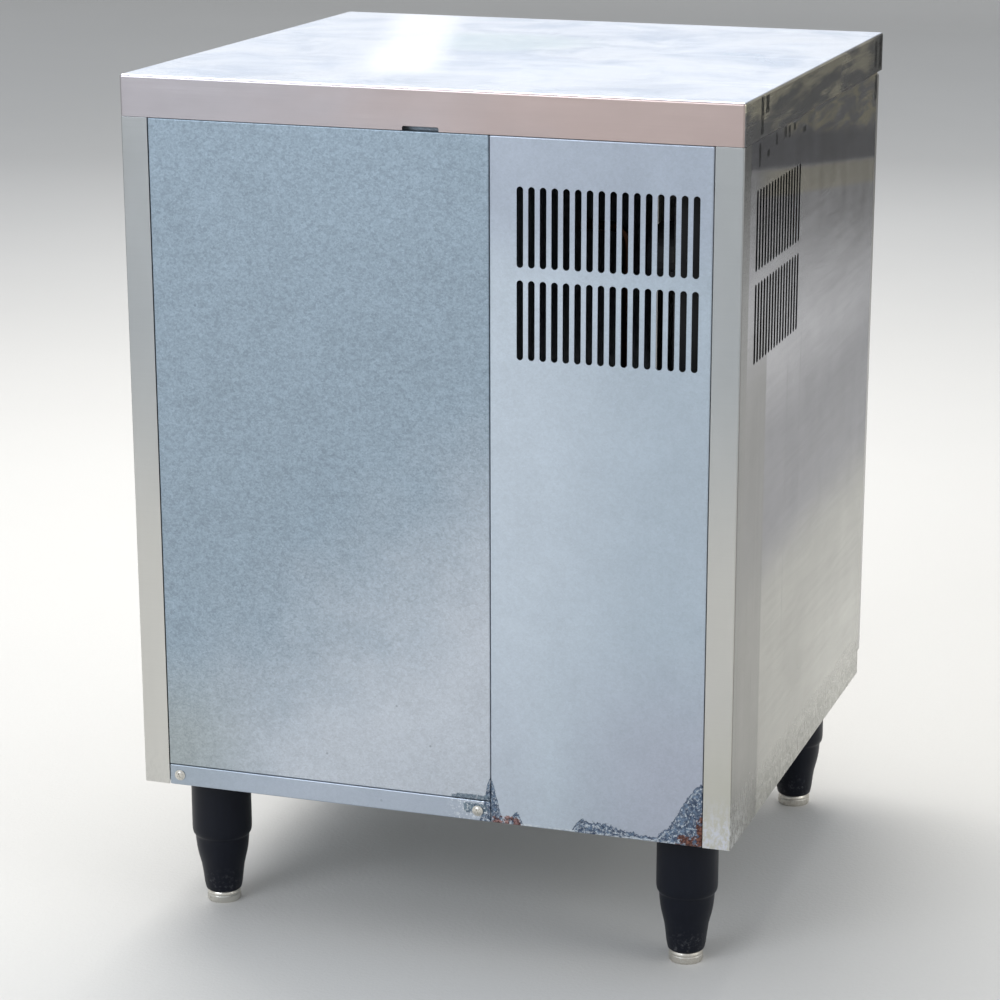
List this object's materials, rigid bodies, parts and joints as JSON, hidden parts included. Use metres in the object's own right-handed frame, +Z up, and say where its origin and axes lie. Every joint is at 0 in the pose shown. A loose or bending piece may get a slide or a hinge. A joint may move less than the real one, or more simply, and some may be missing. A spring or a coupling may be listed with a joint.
{
  "type": "soft serve machine",
  "caption": "Free-standing soft serve machine: stainless cabinet with a flat worktop, vented side and rear, mix cabinet, lever tap and adjustable legs.",
  "frame": {"origin": "on the floor, under the middle of the object's box", "axes": "+Z up, -Y out of the front, +X to the right seen from the front"},
  "size_m": [0.6, 0.6948, 0.839],
  "materials": {
    "stainless_top": "satin",
    "stainless_side": "satin",
    "stainless_inner": "satin",
    "galvanised_sheet": "satin",
    "machined_steel": "satin",
    "black_plastic": "satin",
    "white_plastic": "satin",
    "grey_plastic": "satin",
    "rubber": "matte",
    "copper_pipe": "satin",
    "cast_iron": "matte",
    "aluminium": "satin"
  },
  "bodies": {
    "cabinet": {"base_pan": "galvanised_sheet", "beater_motor": "cast_iron", "compressor": "cast_iron", "condenser": "aluminium", "discharge_line": "copper_pipe", "drive_belt": "rubber", "drive_plate": "galvanised_sheet", "fan_motor": "cast_iron", "fan_shroud": "galvanised_sheet", "feed_tube": "white_plastic", "freezing_cylinder": "stainless_inner", "front_panel_left": "stainless_side", "gearbox": "cast_iron", "head_block": "white_plastic", "head_fascia": "stainless_side", "hinge_bracket_lower": "stainless_inner", "hinge_bracket_upper": "stainless_inner", "leg_front_left": "black_plastic", "leg_front_right": "black_plastic", "leg_rear_left": "black_plastic", "leg_rear_right": "black_plastic", "lever_pin": "stainless_inner", "mix_cabinet_liner": "white_plastic", "mix_pump": "grey_plastic", "mix_tank": "stainless_inner", "nozzle_cap": "white_plastic", "partition_wall": "galvanised_sheet", "rail_screw_left": "machined_steel", "rail_screw_right": "machined_steel", "rear_bottom_rail": "galvanised_sheet", "rear_panel_insulated": "galvanised_sheet", "rear_panel_vented": "galvanised_sheet", "side_panel_left": "stainless_side", "side_panel_right": "stainless_side", "suction_line": "copper_pipe", "top_frame": "galvanised_sheet", "tray_bracket": "stainless_inner", "worktop": "stainless_top"},
    "mix_door_body": {"mix_door": "stainless_side", "door_gasket": "rubber", "door_handle": "stainless_inner"},
    "lever_body": {"draw_lever": "stainless_inner", "lever_knob": "black_plastic"},
    "valve_body": {"draw_valve": "white_plastic"},
    "head_knob_left_body": {"head_knob_left": "black_plastic"},
    "head_knob_right_body": {"head_knob_right": "black_plastic"},
    "tray_body": {"drip_tray": "stainless_inner"},
    "grille_body": {"drip_grille": "stainless_inner"},
    "tank_lid_body": {"mix_tank_lid": "stainless_inner"},
    "mode_button_1_body": {"mode_button_1": "grey_plastic"},
    "mode_button_2_body": {"mode_button_2": "grey_plastic"},
    "switch_body": {"main_switch": "black_plastic"},
    "fan_body": {"fan_blade": "aluminium"},
    "beater_body": {"beater": "stainless_inner"},
    "gearbox_pulley_body": {"gearbox_pulley": "cast_iron"},
    "motor_pulley_body": {"motor_pulley": "cast_iron"},
    "foot_front_left_body": {"foot_front_left": "machined_steel"},
    "foot_front_right_body": {"foot_front_right": "machined_steel"},
    "foot_rear_left_body": {"foot_rear_left": "machined_steel"},
    "foot_rear_right_body": {"foot_rear_right": "machined_steel"}
  },
  "joints": [
    {"name": "mix_door_hinge", "type": "hinge", "parent": "cabinet", "child": "mix_door_body", "pos_m": [0.292, -0.2225, 0.162], "axis": [0, 0, 1], "range_deg": [0, 105]},
    {"name": "draw_lever_pivot", "type": "hinge", "parent": "cabinet", "child": "lever_body", "pos_m": [0.118, -0.29, 0.774], "axis": [1, 0, 0], "range_deg": [0, 50], "stiffness_Nm_per_rad": 0.5, "springref_deg": -22.92},
    {"name": "draw_valve_slide", "type": "slide", "parent": "cabinet", "child": "valve_body", "axis": [0, 0, 1], "range_m": [0, 0.0188]},
    {"name": "head_knob_left_turn", "type": "hinge", "parent": "cabinet", "child": "head_knob_left_body", "pos_m": [0.05, -0.292, 0.672], "axis": [0, -1, 0], "continuous": true},
    {"name": "head_knob_right_turn", "type": "hinge", "parent": "cabinet", "child": "head_knob_right_body", "pos_m": [0.186, -0.292, 0.672], "axis": [0, -1, 0], "continuous": true},
    {"name": "drip_tray_slide", "type": "slide", "parent": "cabinet", "child": "tray_body", "axis": [0, -1, 0], "range_m": [0, 0.11]},
    {"name": "drip_grille_lift", "type": "slide", "parent": "tray_body", "child": "grille_body", "axis": [0, 0, 1], "range_m": [0, 0.06]},
    {"name": "mix_tank_lid_lift", "type": "slide", "parent": "cabinet", "child": "tank_lid_body", "axis": [0, 0, 1], "range_m": [0, 0.02]},
    {"name": "mode_button_1_press", "type": "slide", "parent": "cabinet", "child": "mode_button_1_body", "axis": [0, 1, 0], "range_m": [0, 0.0022], "stiffness_N_per_m": 300, "springref_m": -0.001},
    {"name": "mode_button_2_press", "type": "slide", "parent": "cabinet", "child": "mode_button_2_body", "axis": [0, 1, 0], "range_m": [0, 0.0022], "stiffness_N_per_m": 300, "springref_m": -0.001},
    {"name": "main_switch_rock", "type": "hinge", "parent": "cabinet", "child": "switch_body", "pos_m": [-0.124, -0.2258, 0.715], "axis": [1, 0, 0], "range_deg": [0, 14]},
    {"name": "fan_spin", "type": "hinge", "parent": "cabinet", "child": "fan_body", "pos_m": [-0.246, 0.2125, 0.6755], "axis": [1, 0, 0], "continuous": true},
    {"name": "gearbox_pulley_spin", "type": "hinge", "parent": "cabinet", "child": "gearbox_pulley_body", "pos_m": [0.118, 0.162, 0.672], "axis": [0, 1, 0], "continuous": true},
    {"name": "beater_spin", "type": "hinge", "parent": "cabinet", "child": "beater_body", "pos_m": [0.118, -0.226, 0.672], "axis": [0, 1, 0], "continuous": true},
    {"name": "motor_pulley_spin", "type": "hinge", "parent": "cabinet", "child": "motor_pulley_body", "pos_m": [0.118, 0.182, 0.3], "axis": [0, 1, 0], "continuous": true},
    {"name": "foot_front_left_screw", "type": "slide", "parent": "cabinet", "child": "foot_front_left_body", "axis": [0, 0, -1], "range_m": [0, 0.03]},
    {"name": "foot_front_right_screw", "type": "slide", "parent": "cabinet", "child": "foot_front_right_body", "axis": [0, 0, -1], "range_m": [0, 0.03]},
    {"name": "foot_rear_left_screw", "type": "slide", "parent": "cabinet", "child": "foot_rear_left_body", "axis": [0, 0, -1], "range_m": [0, 0.03]},
    {"name": "foot_rear_right_screw", "type": "slide", "parent": "cabinet", "child": "foot_rear_right_body", "axis": [0, 0, -1], "range_m": [0, 0.03]}
  ],
  "couplings": [
    {"joint": "draw_valve_slide", "follows": "draw_lever_pivot", "m_per_rad": 0.021314},
    {"joint": "beater_spin", "follows": "gearbox_pulley_spin", "ratio": 0.2},
    {"joint": "motor_pulley_spin", "follows": "gearbox_pulley_spin", "ratio": 2.8}
  ]
}
